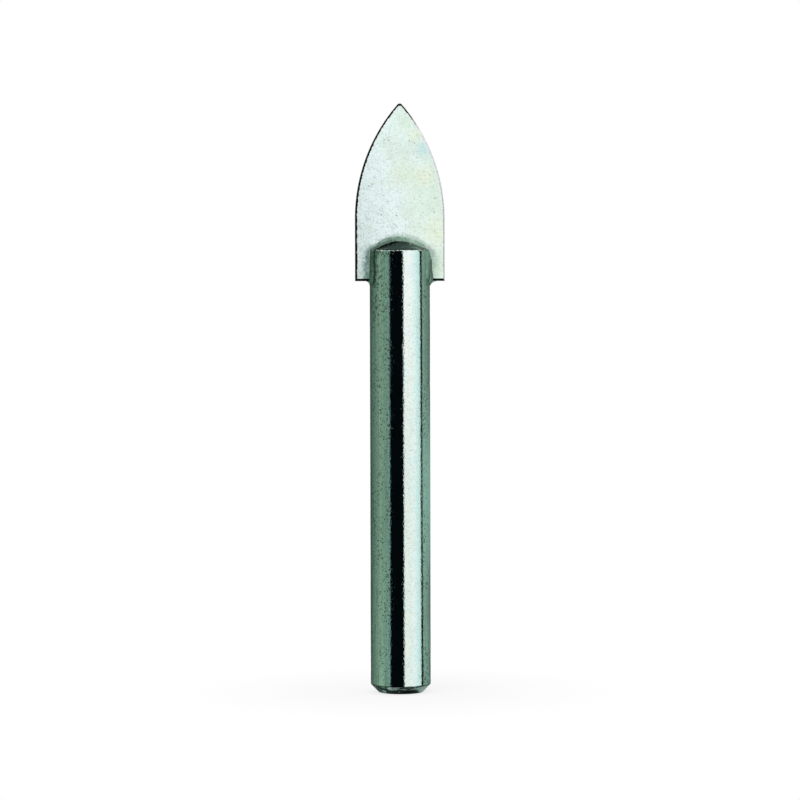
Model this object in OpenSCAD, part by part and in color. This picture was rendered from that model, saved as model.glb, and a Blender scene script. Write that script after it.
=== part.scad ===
// Glass and tile drill bit: a spear-point carbide blade brazed into a slot across a round steel shank.
// +Z runs along the axis towards the point, and the origin is the centre of the shank's end face.
// The blade's flat faces look along -Y and +Y, and its width lies along X.
// The two lips cut when the bit turns clockwise as seen from the shank's end.

/* [Shank] */
// Diameter of the round shank that the chuck grips
shank_d = 8; // [6:0.5:9]
// Length of the shank from its end face to the foot of its nose
shank_len = 58.7; // [40:0.1:120]
// Chamfer round the end face, equal on both legs
end_chamfer = 1.1; // [0.3:0.1:2]
// Slope of the conical nose, up from level
nose_angle = 24.5; // [8:0.5:35]
// How much the head round the blade is eased in at the foot of the nose, on the radius
head_ease = 0.05; // [0.02:0.01:0.2]
// Plain shank between the start of the eased head and the braze above it
head_margin = 0.3; // [0.1:0.1:2]

/* [Carbide tip] */
// Width across the two cutting edges, which is the size of the hole that the bit drills
tip_w = 12; // [11:0.5:20]
// Height of the blade from its seat to its blunted point
tip_h = 23.4; // [21:0.1:40]
// Thickness of the blade
tip_t = 2; // [1.4:0.1:3]
// Height of the curved lips, from the end of the straight sides to where they would meet
ogive_len = 15.4; // [12:0.1:20]
// How much of the sharp point is ground off
point_blunt = 0.2; // [0.05:0.05:1]
// Clearance angle behind each cutting edge
lip_relief = 4; // [1:0.5:10]
// Small bevel on every edge of the blade's faces
edge_break = 0.2; // [0.05:0.01:0.35]

/* [Braze joint] */
// Depth of the blade's seat below the foot of the nose
seat_depth = 4.1; // [2:0.1:8]
// Thickness of the braze film between the blade and the slot
braze_gap = 0.1; // [0.05:0.01:0.25]
// How far the braze climbs the blade above the nose
nose_fillet = 0.6; // [0.2:0.05:1.2]
// How far the braze spreads over the blade beside the shank
side_fillet = 0.35; // [0.1:0.05:0.7]
// How far the braze runs over the shank, measured out from the blade's face
fillet_reach = 0.75; // [0.4:0.05:1.2]
// How far the braze runs down the shank below the blade's shoulders
shoulder_drop = 0.65; // [0.3:0.05:1.2]
// How far the braze spreads under the left shoulder
left_shoulder_fillet = 0.4; // [0.2:0.05:0.8]
// How far the braze spreads under the right shoulder
right_shoulder_fillet = 0.9; // [0.2:0.05:1.1]

/* [Hidden] */
$fn = 96;

shank_r = shank_d / 2;
nose_slope = tan(nose_angle);
half_t = tip_t / 2;
seat_z = shank_len - seat_depth;
head_z = seat_z - shoulder_drop - head_margin;
head_top_r = shank_r - head_ease;
tangent_z = seat_z + tip_h + point_blunt - ogive_len;

// The relief sets each lip's trailing edge back from its cutting edge
relief_slope = tan(lip_relief);
lip_setback = tip_t * relief_slope;
// At mid thickness the lip's arc leaves the straight side tangent and ends on the axis
mid_half_w = (tip_w - lip_setback) / 2;
mid_arc_r = (ogive_len ^ 2 + mid_half_w ^ 2) / (2 * mid_half_w);
lip_arc_r = mid_arc_r + lip_setback / 2;

// How far a fillet's thin rim dips under the skin that it runs out on, as a share of its size
rim_dip = 0.15;
// Depth of the hollow under a shoulder fillet's chord, as a share of that chord
chord_hollow = 0.12;
// How the braze's upper edge swells over the nose: 1 would be half an ellipse and 2 a parabola
arch_power = 1.7;
// Steps along a braze fillet: out from the blade, over the nose and down under the shoulder
reach_steps = 6;
arch_steps = 36;
drop_steps = 4;

// Section of one lip's edge from the front face to the back one, with its cutting edge at reach.
function lip_edge(reach) = [
    [reach - lip_setback - edge_break, -half_t],
    [reach - lip_setback + edge_break * relief_slope, -half_t + edge_break],
    [reach - edge_break * relief_slope, half_t - edge_break],
    [reach - edge_break, half_t]
];

// Radius of the shank's skin at a height, on the gripped length and on the eased head.
function skin_r(z) = shank_r - head_ease * max(0, (z - head_z) / (shank_len - head_z));

// Where the skin lies at a height, measured along the blade, at a distance out from mid thickness.
function skin_x(z, out) = sqrt(skin_r(z) ^ 2 - out ^ 2);

// Height of the nose's surface at a distance from the axis.
function nose_z(distance) = shank_len + (head_top_r - distance) * nose_slope;

// How far the braze climbs above the nose on the blade's face, from one side (0) over to the other (180).
function climb(turn) =
    let (top = nose_z(half_t) + nose_fillet - shank_len,
         nose_x = skin_x(shank_len, half_t) * cos(turn))
    shank_len + top * sin(turn) ^ arch_power - nose_z(norm([nose_x, half_t]));

// Share of a fillet's size where some of its run is left: 1 at the blade, then a concave sweep down
// to just under the skin.
function run_out(left) = (1 + rim_dip) * left ^ 2 - rim_dip;

// One outline of the face fillet: up one side of the shank, over the nose and down the other side.
// The share is the part of the fillet's reach that lies between this outline and the blade's face.
function fillet_outline(share, y) =
    let (out = half_t + share * fillet_reach,
         nose_x = skin_x(shank_len, out),
         left = 1 - share,
         under = [for (i = [0 : drop_steps])
             let (drop = 1 - i / drop_steps, z = seat_z - shoulder_drop * drop)
             [skin_x(z, out) + side_fillet * run_out(left * (1 - drop)), y, z]],
         arch = [for (i = [0 : arch_steps])
             let (turn = 180 - 180 * i / arch_steps)
             [(nose_x + side_fillet * run_out(left)) * cos(turn),
              y,
              nose_z(norm([nose_x * cos(turn), out])) + climb(turn) * run_out(left)]])
    concat(
        [for (point = under) [-point.x, point.y, point.z]],
        arch,
        [for (i = [drop_steps : -1 : 0]) under[i]]
    );

// Solid through a stack of outlines that have equally many points, closed at both ends.
module loft(outlines) {
    count = len(outlines[0]);
    last = len(outlines) - 1;
    walls = [for (k = [0 : last - 1], i = [0 : count - 1])
        let (next = (i + 1) % count, low = k * count, high = low + count)
        each [[low + i, low + next, high + next], [low + i, high + next, high + i]]];
    first_end = [for (i = [count - 1 : -1 : 0]) i];
    last_end = [for (i = [0 : count - 1]) last * count + i];
    polyhedron(
        points = [for (outline = outlines) each outline],
        faces = concat(walls, [first_end, last_end])
    );
}

// The turned rod before its slot is sawn.
module shank_blank() {
    rotate_extrude()
    polygon([
        [0, 0],
        [shank_r - end_chamfer, 0],
        [shank_r, end_chamfer],
        [shank_r, head_z],
        [head_top_r, shank_len],
        [0, nose_z(0)]
    ]);
}

// The saw cut for the blade, wider and deeper than the blade by the braze film.
module slot() {
    translate([-shank_d, -half_t - braze_gap, seat_z - braze_gap])
    cube([2 * shank_d, tip_t + 2 * braze_gap, seat_depth + shank_d]);
}

// Disc whose rim is the flank of one lip: its axis runs through the blade's thickness.
module lip_disc() {
    translate([tip_w / 2 - lip_arc_r, 0, tangent_z])
    rotate([-90, 0, 0])
    rotate_extrude()
    polygon(concat([[0, -half_t]], lip_edge(lip_arc_r), [[0, half_t]]));
}

// The curved part of the blade, where the two lips' discs meet, with its point blunted.
module blade_point() {
    intersection() {
        lip_disc();
        rotate([0, 0, 180])
        lip_disc();
        translate([-tip_w, -tip_t, tangent_z])
        cube([2 * tip_w, 2 * tip_t, ogive_len - point_blunt]);
    }
}

// The straight part of the blade, with the edges of its underside bevelled too.
module blade_root() {
    right_edge = lip_edge(tip_w / 2);
    intersection() {
        translate([0, 0, seat_z])
        linear_extrude(height = tangent_z - seat_z)
        polygon(concat(right_edge, [for (point = right_edge) -point]));
        rotate([90, 0, 90])
        linear_extrude(height = 2 * tip_w, center = true)
        polygon([
            [-half_t + edge_break, seat_z],
            [half_t - edge_break, seat_z],
            [half_t, seat_z + edge_break],
            [half_t, tangent_z],
            [-half_t, tangent_z],
            [-half_t, seat_z + edge_break]
        ]);
    }
}

// Braze on the blade's front face, from inside the blade out to where it runs thin on the shank.
module face_fillet() {
    loft(concat(
        [fillet_outline(0, -half_t / 2)],
        [for (i = [0 : reach_steps])
            let (share = i / reach_steps)
            fillet_outline(share, -half_t - share * fillet_reach)]
    ));
}

// Concave corner fillet with its corner near the origin, spreading along +X and down along -Y.
module corner_fillet(spread, drop) {
    chord = norm([spread, drop]);
    hollow = chord_hollow * chord;
    arc_r = chord ^ 2 / (8 * hollow) + hollow / 2;
    away = [drop, -spread] / chord;
    difference() {
        polygon([[-spread, 0], [spread, 0], [0, -drop], [-spread, -drop]]);
        translate([spread, -drop] / 2 + away * (arc_r - hollow))
        circle(r = arc_r);
    }
}

// Braze under the blade's right shoulder.
module shoulder_fillet(spread) {
    face_x = skin_x(seat_z, half_t);
    translate([face_x, 0, seat_z])
    rotate([90, 0, 0])
    linear_extrude(height = tip_t, center = true)
    corner_fillet(shank_r - face_x + spread, shoulder_drop);
}

module shank() {
    color("#8d9c94")
    difference() {
        shank_blank();
        slot();
    }
}

module carbide_tip() {
    color("#dbe4df") {
        blade_point();
        blade_root();
    }
}

module braze() {
    color("#6d8077")
    difference() {
        union() {
            intersection() {
                shank_blank();
                slot();
            }
            face_fillet();
            rotate([0, 0, 180])
            face_fillet();
            shoulder_fillet(right_shoulder_fillet);
            rotate([0, 0, 180])
            shoulder_fillet(left_shoulder_fillet);
        }
        shank();
        carbide_tip();
    }
}

shank();
carbide_tip();
braze();
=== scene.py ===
# %% [markdown]
# # A glass and tile drill bit
# The bit is three things joined with a torch: a turned steel shank, a spear-point carbide blade in a slot
# across the shank's nose, and the braze that holds the blade. The CAD model is loaded first, as a fixed
# frame. Every piece is then modelled in that frame and stands for one of its solids.

# %% Load the frame
import math

import bmesh
import bpy
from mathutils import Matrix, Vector


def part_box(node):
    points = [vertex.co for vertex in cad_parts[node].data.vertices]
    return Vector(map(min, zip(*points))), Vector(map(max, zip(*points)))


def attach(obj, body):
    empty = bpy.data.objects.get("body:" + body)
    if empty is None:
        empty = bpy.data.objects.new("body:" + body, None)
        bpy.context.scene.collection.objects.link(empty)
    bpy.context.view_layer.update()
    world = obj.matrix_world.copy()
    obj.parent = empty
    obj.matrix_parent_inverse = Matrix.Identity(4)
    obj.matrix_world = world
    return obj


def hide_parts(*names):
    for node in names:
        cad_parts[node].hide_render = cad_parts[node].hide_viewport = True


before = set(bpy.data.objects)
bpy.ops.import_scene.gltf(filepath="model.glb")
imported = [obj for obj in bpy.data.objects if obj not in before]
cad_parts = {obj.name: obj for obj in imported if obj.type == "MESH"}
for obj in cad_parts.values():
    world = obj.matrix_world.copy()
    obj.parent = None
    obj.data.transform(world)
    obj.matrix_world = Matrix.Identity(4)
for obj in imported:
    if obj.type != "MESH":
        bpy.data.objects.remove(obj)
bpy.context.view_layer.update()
MM = 0.001


# %% [markdown]
# ## Three small helpers
# An operator acts on whatever is selected, and loading leaves the CAD solids selected. So each piece
# starts alone, and in edit mode its parts are picked by a test on their place or direction. A profile is
# drawn as by hand: one vertex is extruded from point to point. Sizes are in millimetres, as on a drawing,
# and one factor turns them into Blender's metres.

# %% Select pieces and parts of pieces
SELECT_MODES = {"verts": "VERT", "edges": "EDGE", "faces": "FACE"}


def pick_piece(piece):
    """Select one piece and nothing else, and make it the active one."""
    bpy.ops.object.select_all(action="DESELECT")
    piece.select_set(True)
    bpy.context.view_layer.objects.active = piece


def pick(kind, test):
    """In edit mode, select the vertices, edges or faces that pass a test, and count them."""
    bpy.ops.mesh.select_mode(type=SELECT_MODES[kind])
    bpy.ops.mesh.select_all(action="DESELECT")
    mesh_data = bpy.context.edit_object.data
    shape = bmesh.from_edit_mesh(mesh_data)
    chosen = [item for item in getattr(shape, kind) if test(item)]
    for item in chosen:
        item.select_set(True)
    shape.select_flush_mode()
    bmesh.update_edit_mesh(mesh_data)
    return len(chosen)


def draw_line(name, points):
    """A line through the points, drawn by pulling one vertex along. It stays in edit mode."""
    bpy.ops.object.select_all(action="DESELECT")
    bpy.ops.mesh.primitive_plane_add(size=MM)
    piece = bpy.context.object
    piece.name = name
    bpy.ops.object.mode_set(mode="EDIT")
    bpy.ops.mesh.merge(type="CENTER")
    bpy.ops.transform.translate(value=points[0])
    for here, there in zip(points, points[1:]):
        step = Vector(there) - Vector(here)
        bpy.ops.mesh.extrude_vertices_move(TRANSFORM_OT_translate={"value": step})
    return piece


print("modelling helpers ready")

# %% [markdown]
# ## The shank, turned on a lathe
# The real shank is a length of bright bar that a lathe has chamfered at one end and coned at the other. A
# cylinder could be bevelled into it, but a lathe works on a profile, and so does Spin: half of the
# section is drawn as a line, which goes once round the axis. A few extra points beside the corners keep a
# corner's smooth shading from creeping along the whole long wall.

# %% Draw the shank's profile
shank_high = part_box("shank")[1]
shank_r = min(shank_high.x, shank_high.y)
shank_len = 58.7 * MM
end_chamfer = 1.1 * MM
head_z = 53.65 * MM
head_top_r = 3.95 * MM
head_taper = 0.003 * MM
nose_slope = math.tan(math.radians(24.5))
corner_guard = 0.3 * MM

profile = [
    (0, 0),
    (shank_r - end_chamfer - corner_guard, 0),
    (shank_r - end_chamfer, 0),
    (shank_r, end_chamfer),
    (shank_r, end_chamfer + corner_guard),
    (shank_r, head_z),
    (head_top_r + head_taper, shank_len - corner_guard),
    (head_top_r, shank_len),
    (head_top_r - corner_guard, shank_len + corner_guard * nose_slope),
    (0, shank_len + head_top_r * nose_slope),
]
shank = draw_line("shank_body", [(radius, 0, height) for radius, height in profile])
print("profile points:", len(profile))

# %% [markdown]
# No edge of a turned part is quite sharp. Here the end face's edge is nearly so, and the two that a hand
# or a chuck touches are rubbed a little rounder. Bevel rounds a corner of a line when it works on
# vertices.

# %% Round the corners
near = 0.01 * MM
corner_rounds = [
    (shank_r - end_chamfer, 0, 0.08 * MM),
    (shank_r, end_chamfer, 0.10 * MM),
    (head_top_r, shank_len, 0.10 * MM),
]
for radius, height, rounding in corner_rounds:
    corner = Vector((radius, 0, height))
    pick("verts", lambda vertex: (vertex.co - corner).length < near)
    bpy.ops.mesh.bevel(offset=rounding, segments=4, affect="VERTICES")
print("rounded corners:", len(corner_rounds))

# %% [markdown]
# Spin copies the line round the axis and joins the copies with faces. That leaves a seam where the last
# copy meets the first one, and a heap of points at each end of the axis. So doubles are merged, and only
# then are the faces turned outwards.

# %% Spin the profile
lathe_steps = 192
same_place = 0.0005 * MM
bpy.ops.mesh.select_all(action="SELECT")
bpy.ops.mesh.spin(steps=lathe_steps, angle=math.tau, center=(0, 0, 0), axis=(0, 0, 1))
bpy.ops.mesh.select_all(action="SELECT")
bpy.ops.mesh.remove_doubles(threshold=same_place)
bpy.ops.mesh.normals_make_consistent(inside=False)
bpy.ops.object.mode_set(mode="OBJECT")
print("turned shank:", len(shank.data.polygons), "faces")

# %% [markdown]
# ## The slot
# A saw cuts the slot for the blade across the nose. Here the saw is a box of the slot's width, and a
# Boolean takes it away. The slot is a little wider than the blade, which leaves room for a film of braze.

# %% Saw the slot
blade_low, blade_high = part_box("carbide_tip")
half_t = blade_high.y
seat_z = blade_low.z
braze_film = 0.1 * MM
slot_height = 12 * MM


def cut_with(piece, cutter, operation):
    """Cut a piece with another one by a Boolean, apply it, and throw the cutter away."""
    pick_piece(piece)
    boolean = piece.modifiers.new("cut", "BOOLEAN")
    boolean.operation = operation
    boolean.solver = "EXACT"
    boolean.object = cutter
    bpy.ops.object.modifier_apply(modifier="cut")
    bpy.data.objects.remove(cutter)


bpy.ops.object.select_all(action="DESELECT")
bpy.ops.mesh.primitive_cube_add(
    size=1,
    location=(0, 0, seat_z - braze_film + slot_height / 2),
    scale=(4 * shank_r, 2 * (half_t + braze_film), slot_height),
)
cut_with(shank, bpy.context.object, "DIFFERENCE")
pick_piece(shank)
bpy.ops.object.shade_smooth_by_angle(angle=math.radians(30))
print("slotted shank:", len(shank.data.polygons), "faces")

# %% [markdown]
# ## The blade, ground by two discs
# The blade is a flat plate of carbide with two curved lips. Each lip is a piece of a large circle, and it
# leans back by a few degrees from its cutting edge, so that only the edge rubs. A disc with a slightly
# conical rim has exactly that shape, and two such discs that overlap share a pointed lens. Their edges
# are bevelled before they meet, because at the point there is no room for it.

# %% Make the two discs
tip_w = 12 * MM
tangent_z = 62.8 * MM
edge_break = 0.2 * MM
lip_relief = math.radians(4)
lip_setback = 2 * half_t * math.tan(lip_relief)
lip_arc_r = 23.03 * MM
disc_x = lip_arc_r - tip_w / 2
disc_steps = 1024


def lip_disc(name, x, turn):
    """A disc across the blade's thickness. Its wide side cuts, and both its edges are bevelled."""
    bpy.ops.object.select_all(action="DESELECT")
    bpy.ops.mesh.primitive_cone_add(
        vertices=disc_steps,
        radius1=lip_arc_r,
        radius2=lip_arc_r - lip_setback,
        depth=2 * half_t,
        location=(x, 0, tangent_z),
        rotation=(math.radians(turn), 0, 0),
    )
    disc = bpy.context.object
    disc.name = name
    bpy.ops.object.transform_apply(location=True, rotation=True, scale=True)
    bpy.ops.object.mode_set(mode="EDIT")
    pick("edges", lambda edge: abs(edge.verts[0].co.y - edge.verts[1].co.y) < near)
    bpy.ops.mesh.bevel(offset=edge_break, segments=1, affect="EDGES")
    bpy.ops.object.mode_set(mode="OBJECT")
    return disc


blade = lip_disc("spear_blade", -disc_x, 90)
left_disc = lip_disc("left_disc", disc_x, -90)
cut_with(blade, left_disc, "INTERSECT")
print("lens of the two lips:", len(blade.data.polygons), "faces")

# %% [markdown]
# The Boolean leaves needless edges on the flat faces, and Limited Dissolve clears them. Bisect then cuts
# the lens with a plane and closes the cut, once to blunt the point and once where the lips become
# straight. On so small a model its threshold has to be small too.

# %% Cut the lens at both ends
flat_angle = math.radians(0.05)
cut_off = {"use_fill": True, "clear_outer": True, "threshold": near}
bpy.ops.object.mode_set(mode="EDIT")
bpy.ops.mesh.select_all(action="SELECT")
bpy.ops.mesh.dissolve_limited(angle_limit=flat_angle)
for height, outwards in ((blade_high.z, 1), (tangent_z, -1)):
    bpy.ops.mesh.select_all(action="SELECT")
    bpy.ops.mesh.bisect(plane_co=(0, 0, height), plane_no=(0, 0, outwards), **cut_off)
print("lips from", round(tangent_z / MM, 2), "to", round(blade_high.z / MM, 2), "mm")

# %% [markdown]
# Below the lips the sides run straight down to the seat. The lower cut face is extruded there in short
# steps, because the chips that come later need points to move.

# %% Pull the straight sides down
side_steps = 24
side_step = (seat_z - tangent_z) / side_steps
facing_down = -0.9
for step in range(side_steps):
    floor_z = tangent_z + step * side_step
    pick(
        "faces",
        lambda face: face.normal.z < facing_down and abs(face.calc_center_median().z - floor_z) < near,
    )
    bpy.ops.mesh.extrude_region_move(TRANSFORM_OT_translate={"value": (0, 0, side_step)})
print("straight sides down to", round(seat_z / MM, 2), "mm")

# %% [markdown]
# The bottom edge of each face has a wider bevel, with square ends. The Bevel tool would carry it round
# the corners, so it is cut off with a slanting plane.

# %% Bevel the seat
seat_bevel = 0.33 * MM
for side in (-1, 1):
    bevel_top = (0, side * half_t, seat_z + seat_bevel)
    bpy.ops.mesh.select_all(action="SELECT")
    bpy.ops.mesh.bisect(plane_co=bevel_top, plane_no=(0, side, -1), **cut_off)
bpy.ops.object.mode_set(mode="OBJECT")
print("seat bevel of", round(seat_bevel / MM, 2), "mm")

# %% [markdown]
# A ground carbide edge is never quite clean: it has tiny chips. The outline of the two flat faces is
# shaken by a few hundredths of a millimetre with a fixed seed, and then scaled flat again, so that only
# the width of the bevel varies and the faces stay true.

# %% Chip the edges
chip = 0.05 * MM
chip_seed = 3
chip_margin = 0.5 * MM
chip_low = seat_z + chip_margin
chip_high = blade_high.z - chip_margin
bpy.ops.object.mode_set(mode="EDIT")
for side in (-1, 1):
    face_y = side * half_t
    chipped = pick(
        "verts",
        lambda vertex: abs(vertex.co.y - face_y) < near and chip_low < vertex.co.z < chip_high,
    )
    bpy.ops.transform.vertex_random(offset=chip, uniform=1, normal=0, seed=chip_seed + side)
    bpy.ops.transform.resize(value=(1, 0, 1), center_override=(0, face_y, 0))
    print("chipped points on a face:", chipped)
bpy.ops.object.mode_set(mode="OBJECT")
pick_piece(blade)
bpy.ops.object.shade_smooth_by_angle(angle=math.radians(20))
print("blade:", len(blade.data.polygons), "faces")

# %% [markdown]
# ## The braze
# Braze metal runs into the slot and freezes in a hollow fillet between the blade and the shank. The frame
# already holds its true shape, in loose triangles, so this piece starts as a copy of that mesh: merged,
# divided finer, and smoothed as surface tension would. It is swollen slightly, so that it bites into its
# neighbours and leaves no crack.

# %% Copy and soften the joint
braze = bpy.data.objects.new("braze_joint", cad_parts["braze"].data.copy())
bpy.context.scene.collection.objects.link(braze)
braze_bite = 0.03 * MM
pick_piece(braze)
bpy.ops.object.mode_set(mode="EDIT")
bpy.ops.mesh.select_all(action="SELECT")
bpy.ops.mesh.remove_doubles(threshold=0.001 * MM)
bpy.ops.mesh.subdivide(number_cuts=2)
bpy.ops.mesh.vertices_smooth(factor=0.5, repeat=3)
bpy.ops.transform.shrink_fatten(value=braze_bite)
print("braze points:", braze.data.total_vert_sel)

# %% [markdown]
# A melt never freezes evenly. On this bit the crest over the nose leans to one side, a lump hangs at one
# shoulder, and the corner above it is rounder. Proportional editing makes such forms: a few vertices are
# moved, and their neighbours follow less and less. The places are for the back, and half a turn gives the
# front.

# %% Lean the crest and round a corner
crest_lean = {"centre": (0, 1.3, 60.0), "reach": 0.6, "move": (0.45, 0, 0), "spread": 4.0}
shoulder_lump = {"centre": (-4.1, 1.2, 55.3), "reach": 0.3, "move": (-0.2, 0, 0), "spread": 0.8}
round_corner = {"centre": (-4.2, 1.1, 58.8), "reach": 0.3, "move": (0.25, 0, -0.25), "spread": 0.9}


def pull(centre, reach, move, spread, turned):
    """Move the vertices round a place, in millimetres, and draw along neighbours within the spread."""
    middle = turned * Vector(centre)
    pick("verts", lambda vertex: (vertex.co / MM - middle).length < reach)
    bpy.ops.transform.translate(
        value=turned * Vector(move) * MM,
        use_proportional_edit=True,
        use_proportional_connected=True,
        proportional_edit_falloff="SMOOTH",
        proportional_size=spread * MM,
    )


for side in (-1, 1):
    for form in (crest_lean, shoulder_lump, round_corner):
        pull(**form, turned=Vector((side, side, 1)))
corner_from_x = 3.2 * MM
corner_low = 58.0 * MM
corner_high = 59.4 * MM
smoothed = pick(
    "verts",
    lambda vertex: abs(vertex.co.x) > corner_from_x and corner_low < vertex.co.z < corner_high,
)
bpy.ops.mesh.vertices_smooth(factor=0.5, repeat=16)
bpy.ops.object.mode_set(mode="OBJECT")
print("smoothed corner points:", smoothed)

# %% [markdown]
# Last, a cloud pattern pushes the surface in and out by a few hundredths of a millimetre, so that the
# fillet catches the light unevenly, as frozen metal does.

# %% Make the braze uneven
lumps = bpy.data.textures.new("braze_lumps", "CLOUDS")
lumps.noise_scale = 0.7 * MM
lumps.noise_depth = 2
uneven = braze.modifiers.new("uneven", "DISPLACE")
uneven.texture = lumps
uneven.texture_coords = "LOCAL"
uneven.strength = 0.08 * MM
uneven.mid_level = 0.5
bpy.ops.object.modifier_apply(modifier="uneven")
bpy.ops.object.shade_smooth_by_angle(angle=math.radians(50))
print("braze:", len(braze.data.polygons), "faces")

# %% [markdown]
# ## Writing finishes as expressions
# A material is a tree of nodes. To read it as a formula, one class wraps an output, so that plus, minus,
# times and divide add Math nodes by themselves.

# %% A wire that can be calculated with
class Wire:
    """An output socket. Arithmetic on it adds Math nodes to its tree."""

    def __init__(self, tree, socket):
        self.tree = tree
        self.socket = socket

    def __add__(self, other):
        return self.tree.math("ADD", self, other)

    __radd__ = __add__

    def __mul__(self, other):
        return self.tree.math("MULTIPLY", self, other)

    __rmul__ = __mul__

    def __sub__(self, other):
        return self.tree.math("SUBTRACT", self, other)

    def __rsub__(self, other):
        return self.tree.math("SUBTRACT", other, self)

    def __truediv__(self, other):
        return self.tree.math("DIVIDE", self, other)

    def __rtruediv__(self, other):
        return self.tree.math("DIVIDE", other, self)

    def __abs__(self):
        return self.tree.math("ABSOLUTE", self)


print("wires ready")

# %% [markdown]
# A second class holds the tree and adds any node by its type, settings and inputs. Colours never go
# through Math, which would turn them grey: they are mixed. A step turns a value into a soft-edged mask,
# and a fade is the same mask the other way round.

# %% A tree of nodes
class Tree:
    """The nodes of one material or of the world."""

    def __init__(self, owner):
        owner.use_nodes = True
        self.owner = owner
        self.nodes = owner.node_tree.nodes
        self.links = owner.node_tree.links
        self.nodes.clear()

    def node(self, kind, settings=None, inputs=None, output=0):
        """Add a node: first its settings, then values or wires for its inputs. Gives one output."""
        made = self.nodes.new(kind)
        for name, value in (settings or {}).items():
            if name == "stops":
                self.set_stops(made.color_ramp, value)
            else:
                setattr(made, name, value)
        for name, value in (inputs or {}).items():
            self.feed(made.inputs[name], value)
        return Wire(self, made.outputs[output]) if made.outputs else made

    def feed(self, socket, value):
        """Link a wire to a socket, or set a value. A colour is given as red, green and blue."""
        if isinstance(value, Wire):
            self.links.new(value.socket, socket)
        elif socket.type == "RGBA":
            socket.default_value = (*value, 1)
        else:
            socket.default_value = value

    def set_stops(self, ramp, stops):
        """Give a colour ramp its stops, each a place and a colour."""
        while len(ramp.elements) < len(stops):
            ramp.elements.new(0.5)
        for element, (place, colour) in zip(ramp.elements, stops):
            element.position = place
            element.color = (*colour, 1)

    def math(self, operation, *values):
        """One Math node on wires or numbers."""
        return self.node("ShaderNodeMath", {"operation": operation}, dict(enumerate(values)))

    def step(self, value, low, high):
        """0 below low, 1 above high, and smooth between them."""
        ends = {"Value": value, "From Min": low, "From Max": high}
        return self.node("ShaderNodeMapRange", {"interpolation_type": "SMOOTHSTEP"}, ends)

    def fade(self, value, low, high):
        """1 below low, 0 above high, and smooth between them."""
        return 1 - self.step(value, low, high)

    def mix(self, factor, first, second, blend="MIX"):
        """Mix two colours."""
        settings = {"data_type": "RGBA", "blend_type": blend}
        sockets = {0: factor, 6: first, 7: second}
        return self.node("ShaderNodeMix", settings, sockets, output=2)


print("node trees ready")

# %% [markdown]
# A finish is a tree with patterns that are laid out in millimetres on the piece itself, from its Object
# coordinates. Noise makes clouds, or streaks where the place is stretched. Pits draw lots for which cells
# of a Voronoi pattern get a spot, and noise makes the spot's edge ragged.

# %% A finish with its patterns
class Finish(Tree):
    """A material whose patterns are written in millimetres."""

    def __init__(self, name):
        super().__init__(bpy.data.materials.new(name))

    def place(self):
        """The place on the piece in millimetres."""
        metres = self.node("ShaderNodeTexCoord", output="Object")
        return self.node("ShaderNodeVectorMath", {"operation": "SCALE"}, {0: metres, "Scale": 1 / MM})

    def axis(self, spot, name):
        """The X, Y or Z of a place."""
        return self.node("ShaderNodeSeparateXYZ", None, {0: spot}, output=name)

    def sideways(self, spot):
        """How far to the right a place is for someone who faces it, from the front or the back."""
        return self.axis(spot, "X") * self.math("SIGN", 0 - self.axis(spot, "Y"))

    def stretched(self, spot, factors):
        """The same place with its axes stretched, so that a pattern becomes streaks."""
        return self.node("ShaderNodeVectorMath", {"operation": "MULTIPLY"}, {0: spot, 1: factors})

    def noise(self, spot, per_mm, detail=2.0, rough=0.5):
        """Cloudy noise with this many waves to a millimetre."""
        sockets = {"Vector": spot, "Scale": per_mm, "Detail": detail, "Roughness": rough}
        return self.node("ShaderNodeTexNoise", None, sockets)

    def pits(self, spot, per_mm, radius, share):
        """Ragged spots in some of the cells of a grid: 1 in a spot and 0 around it."""
        sockets = {"Vector": spot, "Scale": per_mm}
        ragged = 1.4 * radius * per_mm * (self.noise(spot, 3 * per_mm) - 0.5)
        distance = self.node("ShaderNodeTexVoronoi", None, sockets) + ragged
        lottery = self.node("ShaderNodeTexVoronoi", None, sockets, output="Color")
        draw = self.node("ShaderNodeSeparateColor", None, {0: lottery})
        inside = self.fade(distance, radius * per_mm * 0.6, radius * per_mm)
        return inside * self.math("LESS_THAN", draw, share)

    def metal(self, colour, roughness, height, height_mm, at_grazing=1.0):
        """Finish the tree as bare metal, with its surface height in millimetres as bump."""
        bump = {"Height": height, "Strength": 1.0, "Distance": height_mm * MM}
        normal = self.node("ShaderNodeBump", None, bump)
        sockets = {"Base Color": colour, "Metallic": 1.0, "Roughness": roughness, "Normal": normal}
        sockets["Specular Tint"] = (at_grazing, at_grazing, at_grazing)
        surface = self.node("ShaderNodeBsdfPrincipled", None, sockets)
        self.node("ShaderNodeOutputMaterial", None, {"Surface": surface})
        return self.owner


print("finish patterns ready")

# %% [markdown]
# ## Bright plated steel
# The shank is plated and nearly a mirror, so it shows the studio as upright bands. What makes it look
# real is what spoils the mirror, and it is laid on in layers. The tints of the plating come first: bluish
# and greenish streaks along the axis, and over them clouds, blotches, a few bluer patches and a grey
# grain.

# %% The plating's tints
plating_bluish = (0.88, 0.96, 0.94)
plating_greenish = (0.91, 0.97, 0.91)
plating_cloud = (0.82, 0.92, 0.88)
plating_blotch = (0.66, 0.74, 0.70)
plating_patch = (0.78, 0.93, 0.97)
plating_grain = (0.45, 0.55, 0.50)


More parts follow.
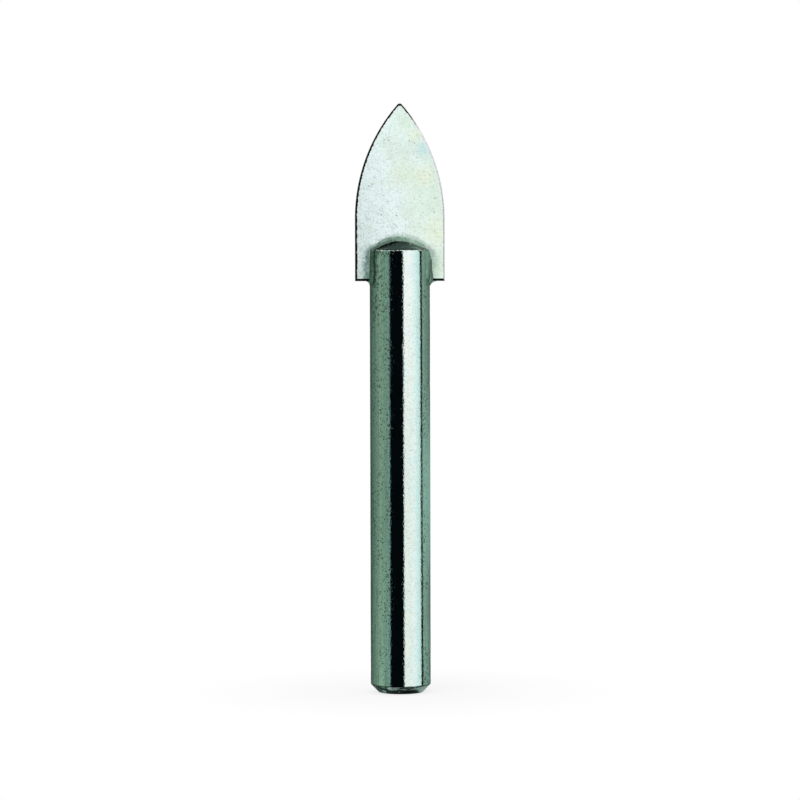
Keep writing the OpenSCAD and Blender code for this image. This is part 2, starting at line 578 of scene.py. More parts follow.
def plating_tints(tree, spot):
    """The plating's own colour, streaked along the shank and clouded at several scales."""
    streaks = tree.noise(tree.stretched(spot, (1.0, 1.0, 0.04)), 1.1)
    tint = tree.mix(tree.step(streaks, 0.35, 0.7), plating_bluish, plating_greenish)
    clouds = tree.noise(spot, 0.25, 3.0)
    tint = tree.mix(0.4 * tree.step(clouds, 0.4, 0.75), tint, plating_cloud)
    blotches = tree.noise(spot, 1.5, 3.0, 0.6)
    tint = tree.mix(0.35 * tree.step(blotches, 0.45, 0.7), tint, plating_blotch)
    patches = tree.noise(tree.stretched(spot, (1.0, 1.0, 0.6)), 0.6, 3.0, 0.6)
    tint = tree.mix(0.5 * tree.step(patches, 0.5, 0.66), tint, plating_patch)
    grain = tree.noise(spot, 6.0)
    return tree.mix(0.34 * tree.step(grain, 0.45, 0.72), tint, plating_grain)


print("tints of the plating ready")

# %% [markdown]
# Next come the marks of wear. Small dark pits stand in clusters, with finer specks between them, and the
# plating has lifted in ragged flakes, most of them below the joint on one side. A strip down the front
# and the back is cleaner, so all marks are thinned out there.

# %% Pits, specks and flakes
def wear_marks(tree, spot):
    """Masks of the pits, the specks and the flakes."""
    x = tree.axis(spot, "X")
    z = tree.axis(spot, "Z")
    clean_strip = tree.step(x, -1.6, -0.4) * tree.fade(x, 2.4, 2.8)
    worn = 1 - 0.85 * clean_strip
    cluster = tree.step(tree.noise(tree.stretched(spot, (1.0, 1.0, 0.5)), 0.3, 1.0), 0.42, 0.6)
    pits = tree.pits(spot, 2.6, 0.13, 0.9) * (0.25 + 0.75 * cluster) * worn
    specks = tree.pits(spot, 4.2, 0.07, 0.4) * worn
    near_joint = tree.step(z, 46.0, 51.0) * tree.fade(x, -3.6, -1.6)
    lifted = tree.step(tree.noise(spot, 2.2, 4.0, 0.7) + 0.06 * near_joint, 0.55, 0.66)
    flakes = lifted * (0.3 + 0.7 * tree.math("MAXIMUM", cluster, near_joint)) * worn
    return pits, specks, flakes


print("wear of the plating ready")

# %% [markdown]
# Beside the blade the torch has burnt the plating to a dull, sooty scale. The border of such a mark is
# uneven, so noise is added to the place before it is compared. Three dark lines belong to edges: gaps in
# the bright rim under the nose, a frayed line of painted shadow just below it on one side, and the line
# at the foot where the chamfer starts.

# %% Burnt scale, rim and foot
rim = shank_len / MM
seat = seat_z / MM
foot = end_chamfer / MM
scale_pale = (0.28, 0.40, 0.33)
scale_sooty = (0.08, 0.14, 0.11)
rim_dark = (0.06, 0.09, 0.08)
rim_shadow_dark = (0.05, 0.08, 0.065)
foot_dark = (0.03, 0.05, 0.045)


def burnt_scale(tree, spot):
    """Mask and colour of the scale beside the blade."""
    x = tree.axis(spot, "X")
    fringe = 0.8 * (tree.noise(spot, 1.8, 3.0) - 0.5)
    from_blade = abs(tree.axis(spot, "Y")) - 0.05 * x + fringe
    high_enough = tree.step(tree.axis(spot, "Z") + fringe, seat - 0.9, seat - 0.2)
    soot = tree.step(tree.noise(spot, 3.2, 3.0, 0.65) - 0.06 * x, 0.45, 0.7)
    return high_enough * tree.fade(from_blade, 1.9, 2.5), tree.mix(soot, scale_pale, scale_sooty)


def edge_lines(tree, spot, tint):
    """Darken the rim's gaps, paint a frayed line of shadow below it, and darken the foot."""
    z = tree.axis(spot, "Z")
    gaps = tree.step(z, rim - 0.15, rim - 0.08) * tree.step(tree.noise(spot, 2.4, 3.0, 0.7), 0.44, 0.52)
    tint = tree.mix(0.85 * gaps, tint, rim_dark)
    # A frayed line of painted shadow below the rim, on one side only.
    wander = tree.noise(tree.stretched(spot, (1.0, 1.0, 0.0)), 3.5, 0.0) - 0.5
    off_line = abs(z - (rim - 0.5 + 2.0 * wander))
    rim_shadow = tree.fade(off_line, 0.06, 0.16) * tree.fade(tree.axis(spot, "X"), -1.6, -1.2)
    tint = tree.mix(0.8 * rim_shadow, tint, rim_shadow_dark)
    blotches = tree.noise(spot, 1.5, 3.0, 0.6)
    foot_line = tree.fade(z + 0.3 * (blotches - 0.5), foot + 0.02, foot + 0.12)
    return tree.mix(0.9 * foot_line, tint, foot_dark)


print("edges of the shank at", round(foot, 2), "and", round(rim, 2), "mm")

# %% [markdown]
# The last layer isn't colour but height. A fine ripple, drawn out a little along the axis, frays the
# edges of the mirrored bands, a longer wave bends them, and pits and dents break them. Roughness stays
# low, except in scuffs, in pits and on the burnt scale.

# %% The shank's plated skin
flake_dark = (0.10, 0.15, 0.125)
pit_dark = (0.05, 0.08, 0.07)
speck_dark = (0.20, 0.27, 0.24)


def plated_steel():
    tree = Finish("plated_steel")
    spot = tree.place()
    pits, specks, flakes = wear_marks(tree, spot)
    burnt, scale = burnt_scale(tree, spot)
    tint = plating_tints(tree, spot)
    tint = tree.mix(0.7 * flakes, tint, flake_dark)
    tint = tree.mix(0.9 * pits, tint, pit_dark)
    tint = tree.mix(0.45 * specks, tint, speck_dark)
    tint = tree.mix(0.9 * burnt, tint, scale)
    tint = edge_lines(tree, spot, tint)

    clouds = tree.noise(spot, 0.25, 3.0)
    scuffs = tree.step(tree.noise(spot, 4.5, 3.0, 0.7), 0.58, 0.72)
    roughness = 0.025 + 0.015 * clouds + 0.08 * scuffs + 0.2 * pits + 0.32 * burnt
    ripple = tree.noise(tree.stretched(spot, (1.0, 1.0, 0.7)), 4.6, 2.0, 0.6)
    wave = tree.noise(tree.stretched(spot, (1.0, 1.0, 0.5)), 0.9, 1.0)
    dents = tree.pits(spot, 2.0, 0.13, 0.6)
    height = 0.75 * ripple + 0.15 * wave - 0.3 * pits - 0.1 * dents
    return tree.metal(tint, roughness, height, 0.016)


steel_finish = plated_steel()
print("made", steel_finish.name)

# %% [markdown]
# ## Turned ends
# The chamfer and the nose keep the rings that the lathe tool cut. A pattern that is coarse round the axis
# and fine along it makes such rings, and dirt sits in them. The nose stood in the torch's flame, so its
# version is far darker. A place is dark where the sum of rings, dirt and painted shade passes a limit.
# Painted shade is added low in the middle of the chamfer, and a little darkness just above the nose's
# rim. A painted highlight above the chamfer's dark middle and painted light on the right side of both
# ends take some away. Pale specks on both are painted glints.

# %% The turned chamfer and nose
glint_pale = (0.72, 0.85, 0.78)


def turned_steel(name, light, dark, dark_from):
    tree = Finish(name)
    spot = tree.place()
    z = tree.axis(spot, "Z")
    # Painted shade low in the middle of the chamfer, a painted highlight above it, and painted light on
    # the right side.
    middle = tree.fade(abs(tree.axis(spot, "X")), 1.2, 2.6)
    low_shade = tree.fade(z, 0.25, 0.65) * middle
    upper_highlight = tree.step(z, 0.5, 0.8) * tree.fade(z, 1.2, 2.0) * middle
    above_rim = tree.fade(abs(z - (rim + 0.15)), 0.1, 0.3)
    lit_side = tree.step(tree.sideways(spot), 0.8, 2.4)

    rings = tree.noise(tree.stretched(spot, (0.5, 0.5, 5.0)), 1.0, 3.0, 0.6)
    dirt = tree.noise(spot, 1.5, 4.0, 0.7)
    dirt_and_shade = 0.55 * rings + 0.45 * dirt - 0.1 * lit_side
    dirt_and_shade = dirt_and_shade + 0.18 * low_shade - 0.06 * upper_highlight + 0.08 * above_rim
    tint = tree.mix(tree.step(dirt_and_shade, dark_from - 0.04, dark_from + 0.04), light, dark)
    # Pale specks that are painted glints.
    glints = tree.pits(spot, 1.1, 0.16, 0.6)
    tint = tree.mix(0.6 * glints, tint, glint_pale)
    return tree.metal(tint, 0.14 + 0.2 * dirt, rings + 0.5 * dirt, 0.003)


chamfer_finish = turned_steel("turned_chamfer", (0.95, 0.98, 0.96), (0.03, 0.045, 0.04), 0.44)
nose_finish = turned_steel("burnt_nose", (0.16, 0.27, 0.22), (0.008, 0.028, 0.021), 0.42)
print("made", chamfer_finish.name, "and", nose_finish.name)

# %% [markdown]
# ## Satin carbide
# The blade's faces are plated too, but over pressed carbide, so they are satin rather than mirror-like.
# Thin plating drifts in colour: here from bluish on one side to yellowish green on the other, with soft
# patches and a few blooms of stronger tint, which are round fades with noise in them.

# %% The plating on the blade's faces
face_bluish = (0.86, 1.0, 1.0)
face_greenish = (0.80, 0.95, 0.83)
face_patch_dim = (0.72, 0.85, 0.76)
face_patch_clear = (0.87, 0.96, 1.0)
# Each bloom has the x and z of its middle and its radius in millimetres, and its tint.
blooms = [
    (3.1, 71.9, 1.7, (0.52, 0.77, 0.81)),
    (3.2, 68.4, 1.9, (0.87, 0.92, 0.71)),
    (2.0, 73.9, 1.3, (0.82, 0.90, 0.70)),
    (0.6, 75.8, 1.8, (0.72, 0.88, 0.73)),
    (0.4, 68.8, 3.0, (0.77, 0.89, 0.70)),
    (5.0, 61.0, 3.2, (0.84, 0.93, 0.72)),
    (5.0, 56.6, 2.6, (0.70, 0.86, 0.68)),
    (-3.6, 68.6, 2.6, (0.85, 0.98, 1.00)),
    (-1.6, 62.4, 3.4, (0.88, 1.00, 1.00)),
]


def face_tints(tree, spot):
    """The drift of colour over a face, with its patches and blooms."""
    x = tree.axis(spot, "X")
    z = tree.axis(spot, "Z")
    drift = tree.noise(spot, 0.16)
    across = tree.step(x / (tip_w / MM) + 0.5 + 0.5 * (drift - 0.5), 0.1, 0.9)
    tint = tree.mix(across, face_bluish, face_greenish)
    patches = tree.noise(spot, 0.5, 4.0, 0.6)
    tint = tree.mix(0.55 * tree.step(patches, 0.46, 0.62), tint, face_patch_dim)
    tint = tree.mix(0.6 * tree.fade(patches, 0.36, 0.48), tint, face_patch_clear)
    for bloom_x, bloom_z, bloom_r, bloom_tint in blooms:
        offsets = {0: x - bloom_x, 1: z - bloom_z, 2: 2.5 * (drift - 0.5)}
        away = tree.node("ShaderNodeCombineXYZ", None, offsets)
        distance = tree.node("ShaderNodeVectorMath", {"operation": "LENGTH"}, {0: away}, output="Value")
        tint = tree.mix(0.75 * tree.fade(distance, 0.0, bloom_r), tint, bloom_tint)
    return tint


print("blooms on the blade's faces:", len(blooms))

# %% [markdown]
# Where the torch played round the joint, the heat has stained the faces. Beside the braze there is a
# sooty stain, which is also painted shade between the blade and the braze. Painted shade is darkest at
# the braze's upper corner, and a smudge follows the braze's arch. The shoulder on the side away from the
# light is painted darker, as painted shade. The arch is a dome over the width, and the height above that
# dome shapes the smudge.

# %% Heat stain and painted shade round the joint
stain_and_shade_dark = (0.085, 0.20, 0.17)
corner_shade_dark = (0.13, 0.22, 0.18)
smudge_grey = (0.28, 0.40, 0.34)
arch_half_w = math.sqrt(18)
arch_height = 2.0


def heat_stain_and_shade(tree, spot, tint):
    """Stain a face beside the braze and paint shade there, paint shade at its corner, and smudge it above
    its arch.
    """
    x = tree.axis(spot, "X")
    z = tree.axis(spot, "Z")
    cloud = tree.step(tree.noise(spot, 1.1, 3.0, 0.6), 0.3, 0.7)
    uneven_edge = cloud - 0.5
    # Painted shade: the side away from the light is darker.
    away_from_light = 1 - 0.7 * tree.step(tree.sideways(spot), -2.0, 2.0)

    # Heat stain and painted shade beside the braze.
    beside = tree.fade(abs(x), 4.2, 5.5) * tree.fade(z, rim - 1.5, rim + 1.1)
    sooty = tree.step(tree.noise(spot, 4.0, 3.0, 0.7), 0.45, 0.62)
    stain_and_shade = beside * away_from_light * (0.4 + 0.9 * cloud + 1.0 * sooty)
    tint = tree.mix(tree.math("MINIMUM", stain_and_shade, 0.92), tint, stain_and_shade_dark)
    # Painted shade in the braze's upper corner.
    corner_x = abs(x) - 3.7
    corner_z = z - (rim - 0.4)
    from_corner = tree.math("SQRT", corner_x * corner_x + corner_z * corner_z) + 0.4 * uneven_edge
    tint = tree.mix(0.8 * away_from_light * tree.fade(from_corner, 0.55, 1.2), tint, corner_shade_dark)

    dome = tree.math("MAXIMUM", 1 - x * x / arch_half_w ** 2, 0.0)
    above_arch = z - (rim - 0.1) - arch_height * tree.math("POWER", dome, 0.85)
    smudge = tree.fade(above_arch + 0.5 * uneven_edge, -0.1, 0.45)
    smudge = smudge * tree.fade(abs(x) + 0.4 * uneven_edge, 4.0, 4.6)
    return tree.mix(0.55 * smudge, tint, smudge_grey)


print("heat stain ready for a joint", round(2 * arch_half_w, 2), "mm wide")

# %% [markdown]
# The finest layer is the grain of the pressed carbide, a mottle that also roughens the surface. On it lie
# dark specks, dust and slanting scratches low on one side, and the very point is worn black.

# %% The blade's faces
face_cloud = (0.74, 0.85, 0.79)
face_mottle = (0.46, 0.57, 0.52)
face_speck = (0.15, 0.18, 0.17)
face_dust = (0.30, 0.36, 0.33)
scratch_grey = (0.28, 0.34, 0.31)
point_black = (0.02, 0.025, 0.025)
point = blade_high.z / MM


def scratches(tree, spot):
    """Slanting scratches on the lower left of a face."""
    slanted = tree.node("ShaderNodeMapping", None, {0: spot, 2: (0, 0.7, 0)})
    lines = tree.noise(tree.stretched(slanted, (6.0, 6.0, 0.7)), 1.0, 1.0)
    low_face = tree.fade(tree.axis(spot, "Z"), 61.5, 66.0)
    return tree.step(lines, 0.66, 0.72) * low_face * tree.fade(tree.axis(spot, "X"), -1.0, 1.0)


def satin_carbide():
    tree = Finish("satin_carbide")
    spot = tree.place()
    clouds = tree.noise(spot, 1.3, 3.0, 0.6)
    mottle = tree.noise(spot, 3.8, 3.0, 0.65)
    specks = tree.pits(spot, 1.8, 0.1, 0.4) * tree.step(tree.noise(spot, 0.5, 1.0), 0.45, 0.65)
    dust = tree.pits(spot, 3.4, 0.07, 0.25)
    scratch = scratches(tree, spot)

    tint = face_tints(tree, spot)
    tint = tree.mix(0.5 * tree.step(clouds, 0.48, 0.7), tint, face_cloud)
    tint = tree.mix(0.7 * tree.step(mottle, 0.46, 0.78), tint, face_mottle)
    tint = tree.mix(0.75 * specks, tint, face_speck)
    tint = tree.mix(0.3 * dust, tint, face_dust)
    tint = tree.mix(0.5 * scratch, tint, scratch_grey)
    tint = heat_stain_and_shade(tree, spot, tint)
    worn_point = tree.step(tree.axis(spot, "Z"), point - 0.38, point - 0.28)
    tint = tree.mix(0.95 * worn_point, tint, point_black)

    roughness = 0.09 + 0.05 * mottle + 0.2 * specks
    height = 0.7 * mottle - 0.8 * specks - 0.5 * scratch - 0.3 * dust
    return tree.metal(tint, roughness, height, 0.003)


face_finish = satin_carbide()
print("made", face_finish.name)

# %% [markdown]
# ## Ground and plated edges
# The two cutting edges and the flanks behind them were ground last, through the plating, so they show
# bare carbide with fine grinding lines across the thickness: grey on the flanks and almost black on the
# narrow bevels. The two trailing edges kept their plating, which is dull there and slightly pink, except
# round the point. All are one recipe with other colours. Ground carbide is dark where it is seen at a low
# angle, which Specular Tint sets.

# %% The blade's edges
ground_black = (0.01, 0.013, 0.013)
dark_at_grazing = 0.03
bright_at_grazing = 1.0
above_the_point = 90.0


def edge_carbide(name, light, dark, dullness, ground_from, at_grazing):
    """Carbide with grinding lines and small chips. From a height upwards it is ground black."""
    tree = Finish(name)
    spot = tree.place()
    lines = tree.noise(tree.stretched(spot, (1.0, 0.12, 1.0)), 9.0)
    chips = tree.step(tree.noise(spot, 2.6, 3.0, 0.6), 0.5, 0.72)
    tint = tree.mix(0.5 * tree.step(lines, 0.4, 0.7) + 0.5 * chips, light, dark)
    uneven_z = tree.axis(spot, "Z") + 3.0 * (chips - 0.5)
    tint = tree.mix(tree.step(uneven_z, ground_from, ground_from + 3.0), tint, ground_black)
    return tree.metal(tint, dullness + 0.15 * lines, 0.6 * lines - 0.6 * chips, 0.004, at_grazing)


bare_light = (0.03, 0.033, 0.033)
bare_dark = (0.006, 0.008, 0.008)
bevel_finish = edge_carbide("ground_carbide", bare_light, bare_dark, 0.3, 60.0, dark_at_grazing)
flank_light = (0.24, 0.255, 0.25)
flank_dark = (0.07, 0.078, 0.075)
flank_finish = edge_carbide(
    "ground_flank", flank_light, flank_dark, 0.25, above_the_point, dark_at_grazing
)
pink_light = (0.95, 0.90, 0.95)
pink_dark = (0.68, 0.64, 0.69)
trailing_finish = edge_carbide("trailing_edge", pink_light, pink_dark, 0.45, 72.8, bright_at_grazing)
print("made", bevel_finish.name + ",", flank_finish.name, "and", trailing_finish.name)

# %% [markdown]
# ## Braze metal
# The fillet froze from a melt, so it is soft and slightly lumpy, greener and duller than the steel. It
# thins out to a pale feather on the blade, has painted shade along its inner edge where it meets the
# nose, is dark where it meets the shank, and has burnt flux in its hollows. As on the blade, the side
# away from the light is painted darker, as painted shade.

# %% The braze
braze_pale = (0.46, 0.56, 0.50)
braze_dim = (0.32, 0.41, 0.36)
feather_pale = (0.78, 0.90, 0.82)
inner_shade_dark = (0.12, 0.18, 0.15)
flux_dark = (0.05, 0.085, 0.07)


def frozen_braze():
    tree = Finish("frozen_braze")
    spot = tree.place()
    z = tree.axis(spot, "Z")
    clouds = tree.noise(spot, 1.4, 3.0, 0.6)
    from_middle = abs(tree.axis(spot, "Y")) + 0.3 * (clouds - 0.5)
    # Painted shade: the side away from the light is darker.
    away_from_light = 1 - 0.6 * tree.step(tree.sideways(spot), -2.5, 0.5)

    tint = tree.mix(tree.step(clouds, 0.35, 0.7), braze_pale, braze_dim)
    feather = tree.fade(from_middle, 1.0, 1.22) * tree.step(z, rim - 0.7, rim + 0.8)
    tint = tree.mix(0.6 * feather, tint, feather_pale)
    # Painted shade along the inner edge, where the braze meets the nose.
    inner_shade = tree.step(from_middle, 1.1, 1.5) * tree.step(z, rim - 0.4, rim + 0.3)
    tint = tree.mix(0.8 * away_from_light * inner_shade, tint, inner_shade_dark)
    beside_shank = tree.fade(z, rim - 0.4, rim + 0.4)
    beside_shank = beside_shank * (0.5 + 0.5 * tree.step(z, seat + 0.3, seat + 1.4))
    tint = tree.mix(0.58 * away_from_light * beside_shank, tint, flux_dark)
    flux = tree.step(tree.noise(spot, 2.8, 3.0, 0.6), 0.52, 0.72)
    tint = tree.mix(0.85 * away_from_light * flux, tint, flux_dark)
    return tree.metal(tint, 0.26 + 0.15 * flux, clouds + 0.5 * tree.noise(spot, 6.0), 0.006)


braze_finish = frozen_braze()
print("made", braze_finish.name)

# %% [markdown]
# ## Putting the finishes on
# A piece can hold several finishes, one to a slot, and each face says which slot it uses. The shank's
# turned ends are found by their height. On the blade, a face that looks along the thickness is plated,
# one that looks across it is a flank, and what lies between is a bevel. A bevel is on a trailing edge
# where its sideways and its through-the-thickness directions have opposite signs, because the blade looks
# the same after half a turn.

# %% Give each face its finish
def dress(piece, finishes, choose):
    """Put a list of finishes on a piece, and let a function choose one of them for each face."""
    piece.data.materials.clear()
    for finish in finishes:
        piece.data.materials.append(finish)
    counts = [0] * len(finishes)
    for face in piece.data.polygons:
        number = finishes.index(choose(face))
        face.material_index = number
        counts[number] += 1
    print(piece.name, "faces to a finish:", counts)


chamfer_top = end_chamfer - 0.06 * MM
nose_bottom = shank_len - 0.02 * MM
looking_up = 0.5
looking_through = 0.98
looking_across = 0.3
opposite_signs = -0.1


def shank_part(face):
    """The finish of one of the shank's faces."""
    if face.center.z < chamfer_top:
        return chamfer_finish
    on_nose = face.center.z > nose_bottom and face.normal.z > looking_up
    return nose_finish if on_nose else steel_finish


def blade_part(face):
    """The finish of one of the blade's faces."""
    through = abs(face.normal.y)
    if through > looking_through:
        return face_finish
    if through < looking_across:
        return flank_finish
    is_trailing = face.normal.x * face.normal.y < opposite_signs
    return trailing_finish if is_trailing else bevel_finish


dress(shank, [steel_finish, chamfer_finish, nose_finish], shank_part)
dress(blade, [face_finish, bevel_finish, trailing_finish, flank_finish], blade_part)
dress(braze, [braze_finish], lambda face: braze_finish)

# %% [markdown]
# ## Standing in for the CAD solids
# Every piece rides on the one body of this bit and hides the solid that it stands for.

# %% Ride and replace
standing_for = [
    (shank, "shank", "shank_steel"),
    (blade, "carbide_tip", "carbide"),
    (braze, "braze", "braze_metal"),
]
for piece, node, slot in standing_for:
    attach(piece, "root")
    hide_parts(node)
    print(piece.name, "stands for", node)

# %% [markdown]
# ## The camera
# The bit was photographed from far away with a long lens, level with the nose and turned a little to one
# side, so that a thin strip of the blade's left edge shows. The lens follows from the distance and from
# how many pixels of an 800 pixel picture one millimetre takes.

# %% Place the camera
view_turn = math.radians(8)
view_distance = 485 * MM
view_height = 58.7 * MM
view_pitch = math.radians(2.346)
view_roll = math.radians(0.135)
view_shift = 0.033 * MM
pixels_per_mm = 7.55
picture_pixels = 800
sensor = 36

camera_data = bpy.data.cameras.new("camera")
camera_data.sensor_width = sensor
camera_data.lens = sensor * view_distance / MM * pixels_per_mm / picture_pixels
camera_data.clip_start = 10 * MM
camera_data.clip_end = 20
camera = bpy.data.objects.new("camera", camera_data)
back = Vector((-math.sin(view_turn), -math.cos(view_turn), 0))
right = Vector((math.cos(view_turn), -math.sin(view_turn), 0))
camera.location = back * view_distance + right * view_shift + Vector((0, 0, view_height))
camera.rotation_euler = (math.radians(90) - view_pitch, view_roll, -view_turn)
bpy.context.scene.collection.objects.link(camera)
bpy.context.scene.camera = camera
print("lens:", round(camera_data.lens, 1), "mm")

# %% [markdown]
# ## The studio wall
# A mirror has no colour of its own: the black, white and green bands on the shank are sheets that stood
# round it. Here they are painted on one round wall that starts on the floor near the bit's foot, runs out
# and rises. A second card hangs overhead for the nose and the braze, and a small ring of painted shade
# lies at the foot for the chamfer to mirror. Angles count from the camera and grow to the right. The
# cards show in reflections only, so that they hide nothing and throw no light on the floor.

# %% Build the wall and the other cards
card_floor_z = 0.03 * MM
foot_card_r = 2.7 * MM
wall_foot_r = 4.3 * MM
wall_r = 400 * MM
wall_top = 145 * MM
card_steps = 96


def stand_card(name, profile_points, start, end):
    """Spin a profile of radius and height from one angle to another, as part of the stage."""
    turn = math.radians(start) - view_turn
    along = Vector((math.sin(turn), -math.cos(turn), 0))
    points = [along * radius + Vector((0, 0, height)) for radius, height in profile_points]
    card = draw_line(name, points)
    bpy.ops.mesh.select_all(action="SELECT")
    sweep = math.radians(end - start)
    bpy.ops.mesh.spin(steps=card_steps, angle=-sweep, center=(0, 0, 0), axis=(0, 0, 1))
    bpy.ops.object.mode_set(mode="OBJECT")
    for ray in ("camera", "diffuse", "shadow", "transmission"):
        setattr(card, "visible_" + ray, False)
    return card


wall_profile = [(wall_foot_r, card_floor_z), (wall_r, card_floor_z), (wall_r, wall_top)]
wall = stand_card("card_wall", wall_profile, 0, 360)
overhead_profile = [(150 * MM, 194 * MM), (20 * MM, 260 * MM)]
overhead_card = stand_card("card_overhead", overhead_profile, -80, 80)
# A dark ring of painted shade at the foot.
foot_profile = [(foot_card_r, card_floor_z), (wall_foot_r, card_floor_z)]
foot_shade_card = stand_card("card_foot", foot_profile, 0, 360)
print("wall of", wall_r / MM, "mm radius")

# %% [markdown]
# ## Which ray reaches the wall
# A band should look straight on the shank all the way down, but the shank is not a thin line: it mirrors
# each direction from another place on its skin. So the paint asks which ray, from the camera by way of
# the shank, reaches a place on the wall. Its direction is found in three rounds, and the height at which
# it touched the shank follows from the distances.

# %% Follow the mirrored ray
ray_rounds = 3


def mirrored_ray(tree, spot):
    """The mirrored ray's direction in degrees from the camera, and the height where it left the shank."""
    x = tree.axis(spot, "X")
    y = tree.axis(spot, "Y")
    radius = tree.math("SQRT", x * x + y * y)
    seen = tree.math("ARCTAN2", x, 0 - y) + view_turn
    turn = seen
    for _ in range(ray_rounds):
        turn = seen + tree.math("ARCSINE", shank_r / MM / radius * tree.math("SINE", 0.5 * turn))
    run = (radius * MM - shank_r) / view_distance
    height = (tree.axis(spot, "Z") + run * (view_height / MM)) / (1 + run)
    return turn * math.degrees(1), height


def ramp(tree, turn, stops):
    """A colour ramp over the angle, with its stops in degrees."""
    placed = [((degrees + 180) / 360, colour) for degrees, colour in stops]
    return tree.node("ShaderNodeValToRGB", {"stops": placed}, {0: turn / 360 + 0.5})


def glowing(tree, colour):
    """Finish the tree as paint that glows by itself."""
    glow = tree.node("ShaderNodeEmission", None, {"Color": colour})
    tree.node("ShaderNodeOutputMaterial", None, {"Surface": glow})
    return tree.owner


print("ray and paint helpers ready")

# %% [markdown]
# ## Painting the wall
# The sheets are a colour ramp over the angle: a pale one behind the bit, green ones at both sides, and a
# black and a white one in front. They aren't even, as in a real room. They lean a little, so the bands
# shift with the height. The green ones are blotched, and the right one glows at half height. The white
# one is greener low down, and shows above the black one.

# %% Paint the wall
black = (0.001, 0.0025, 0.0035)
white = (1.0, 1.0, 1.0)
behind = (0.70, 0.79, 0.75)
shade_dark = (0.5, 0.5, 0.5)
shade_light = (1.5, 1.5, 1.5)
low_green = (0.3, 0.5, 0.2)
glow_green = (0.29, 0.48, 0.41)
upright_at = 6
lean_height = 45
bands = [
    (-180, behind), (-166, behind),
    (-165, black), (-158, (0.03, 0.06, 0.05)), (-132, (0.09, 0.15, 0.12)), (-105, (0.14, 0.23, 0.175)),
    (-82, (0.21, 0.33, 0.24)), (-60, (0.17, 0.285, 0.215)), (-40.8, (0.17, 0.28, 0.245)),
    (-39.8, black), (14.4, black),
    (15.2, white), (46, white), (60, (0.84, 0.97, 0.97)), (78, (0.64, 0.84, 0.81)),
    (86.2, (0.58, 0.77, 0.73)),
    (87, black), (96.8, black),
    (97.6, (0.24, 0.37, 0.305)), (118, (0.17, 0.28, 0.225)), (150, (0.13, 0.21, 0.17)),
    (158, black), (165, black),
    (166, behind),
]


def painted_wall():
    tree = Finish("painted_wall")
    turn, height = mirrored_ray(tree, tree.place())
    lean = tree.step(turn, -20, 10) + 2 * tree.step(turn, 20, 80)
    colour = ramp(tree, turn + lean * (height - upright_at) / lean_height, bands)

    on_green = tree.fade(turn, -39, -37) + tree.step(turn, 96, 98)
    blot_place = tree.node("ShaderNodeCombineXYZ", None, {0: turn, 1: height})
    blots = tree.step(tree.noise(blot_place, 0.2, 3.0, 0.65), 0.3, 0.7)
    blots = blots + 0.12 * tree.fade(height, 8, 24)
    colour = tree.mix(on_green, colour, tree.mix(blots, shade_dark, shade_light), "MULTIPLY")

    low_white = tree.fade(height, 36, 52) * tree.step(turn, 12, 14) * tree.fade(turn, 36, 64)
    colour = tree.mix(0.15 * low_white, colour, low_green)
    over_black = tree.step(height, 62, 69) * tree.step(turn, 10, 13) * tree.fade(turn, 20, 40)
    colour = tree.mix(over_black, colour, white)
    right_glow = tree.step(turn, 90, 100) * tree.step(height, 12, 24) * tree.fade(height, 30, 42)
    return glowing(tree, tree.mix(0.7 * right_glow, colour, glow_green))


wall.data.materials.append(painted_wall())
print("painted the wall with", len(bands), "stops")

# %% [markdown]
# The card overhead and the ring at the foot are near the bit, and what they light is small. A plain ramp
# over the angle is enough for them: brighter to the right overhead, and at the foot a painted shade that
# is darkest in front.

# %% Paint the other two cards
overhead_stops = [(-60, (0.28, 0.38, 0.35)), (0, (0.50, 0.62, 0.57)), (60, (0.74, 0.91, 0.78))]
# Painted shade at the foot, darkest in front.
foot_shade_stops = [
    (-110, (0.14, 0.22, 0.19)), (-50, (0.26, 0.39, 0.35)), (-15, (0.15, 0.185, 0.17)),
    (15, (0.06, 0.075, 0.07)), (50, (0.23, 0.33, 0.30)), (110, (0.20, 0.29, 0.26)),
]


def painted_card(name, stops):
    tree = Finish(name)
    spot = tree.place()
    turn = tree.math("ARCTAN2", tree.axis(spot, "X"), 0 - tree.axis(spot, "Y")) * math.degrees(1)
    return glowing(tree, ramp(tree, turn, stops))


overhead_card.data.materials.append(painted_card("painted_overhead", overhead_stops))
foot_shade_card.data.materials.append(painted_card("painted_foot", foot_shade_stops))
print("painted", overhead_card.name, "and", foot_shade_card.name)

# %% [markdown]
# ## The floor
# The floor is a plain pale sheet. Close to the bit it is partly lit like anything else and keeps the soft
# shadow, and further out it fades into pure white. Only the camera, reflections and glass see that white:
# for all other light it is a dull pale surface.

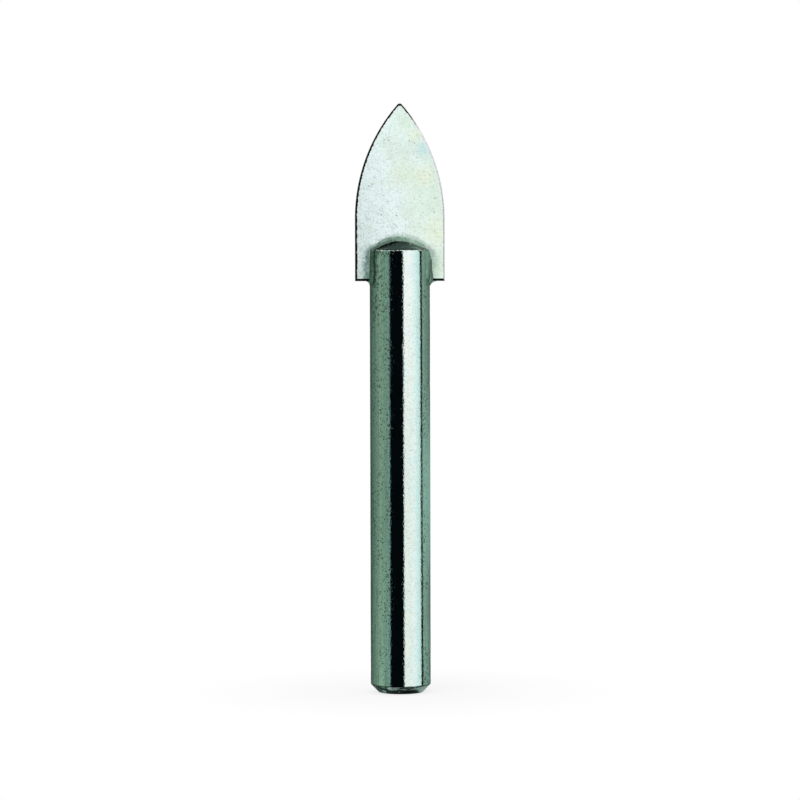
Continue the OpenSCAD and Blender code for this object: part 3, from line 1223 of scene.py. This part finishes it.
# %% Lay the floor
floor_pale = (0.9, 0.9, 0.9)
bpy.ops.object.select_all(action="DESELECT")
bpy.ops.mesh.primitive_circle_add(vertices=96, radius=6, fill_type="NGON")
floor = bpy.context.object
floor.name = "floor"


def seen_directly(tree):
    """1 for rays from the camera, a reflection or glass, and 0 for light on a dull surface."""
    camera_ray, glossy_ray, glass_ray = [
        tree.node("ShaderNodeLightPath", output=name)
        for name in ("Is Camera Ray", "Is Glossy Ray", "Is Transmission Ray")
    ]
    return tree.math("MAXIMUM", tree.math("MAXIMUM", camera_ray, glossy_ray), glass_ray)


def pale_floor():
    tree = Finish("pale_floor")
    spot = tree.place()
    x = tree.axis(spot, "X")
    y = tree.axis(spot, "Y")
    distance = tree.math("SQRT", x * x + y * y)
    dull = tree.node("ShaderNodeBsdfDiffuse", None, {"Color": floor_pale})
    shining = tree.node("ShaderNodeEmission", None, {"Color": white})
    whiteness = (0.75 + 0.25 * tree.step(distance, 4.0, 34.0)) * seen_directly(tree)
    surface = tree.node("ShaderNodeMixShader", None, {0: whiteness, 1: dull, 2: shining})
    tree.node("ShaderNodeOutputMaterial", None, {"Surface": surface})
    return tree.owner


floor.data.materials.append(pale_floor())
print("floor laid")

# %% [markdown]
# ## World and lamp
# The world does the same: it lights at a plain level and shows as white. One large soft lamp in front,
# above and to the left, makes the shadow. It is hidden from reflections, because the metal already
# mirrors the painted cards.

# %% Light the world
plain_level = 0.8
world = bpy.data.worlds.new("studio")
bpy.context.scene.world = world
sky = Tree(world)
level = plain_level + (1 - plain_level) * seen_directly(sky)
background = sky.node("ShaderNodeBackground", None, {"Color": white, "Strength": level})
sky.node("ShaderNodeOutputWorld", None, {"Surface": background})

lamp_data = bpy.data.lights.new("soft_lamp", "AREA")
lamp_data.size = 0.5
lamp_data.energy = 0.9
lamp = bpy.data.objects.new("soft_lamp", lamp_data)
lamp.location = (-0.25, -0.35, 0.55)
lamp.rotation_euler = (-lamp.location).to_track_quat("-Z", "Y").to_euler()
lamp.visible_glossy = False
bpy.context.scene.collection.objects.link(lamp)
bpy.context.scene.view_settings.view_transform = "Standard"
print("lamp of", round(lamp_data.energy, 2), "W")
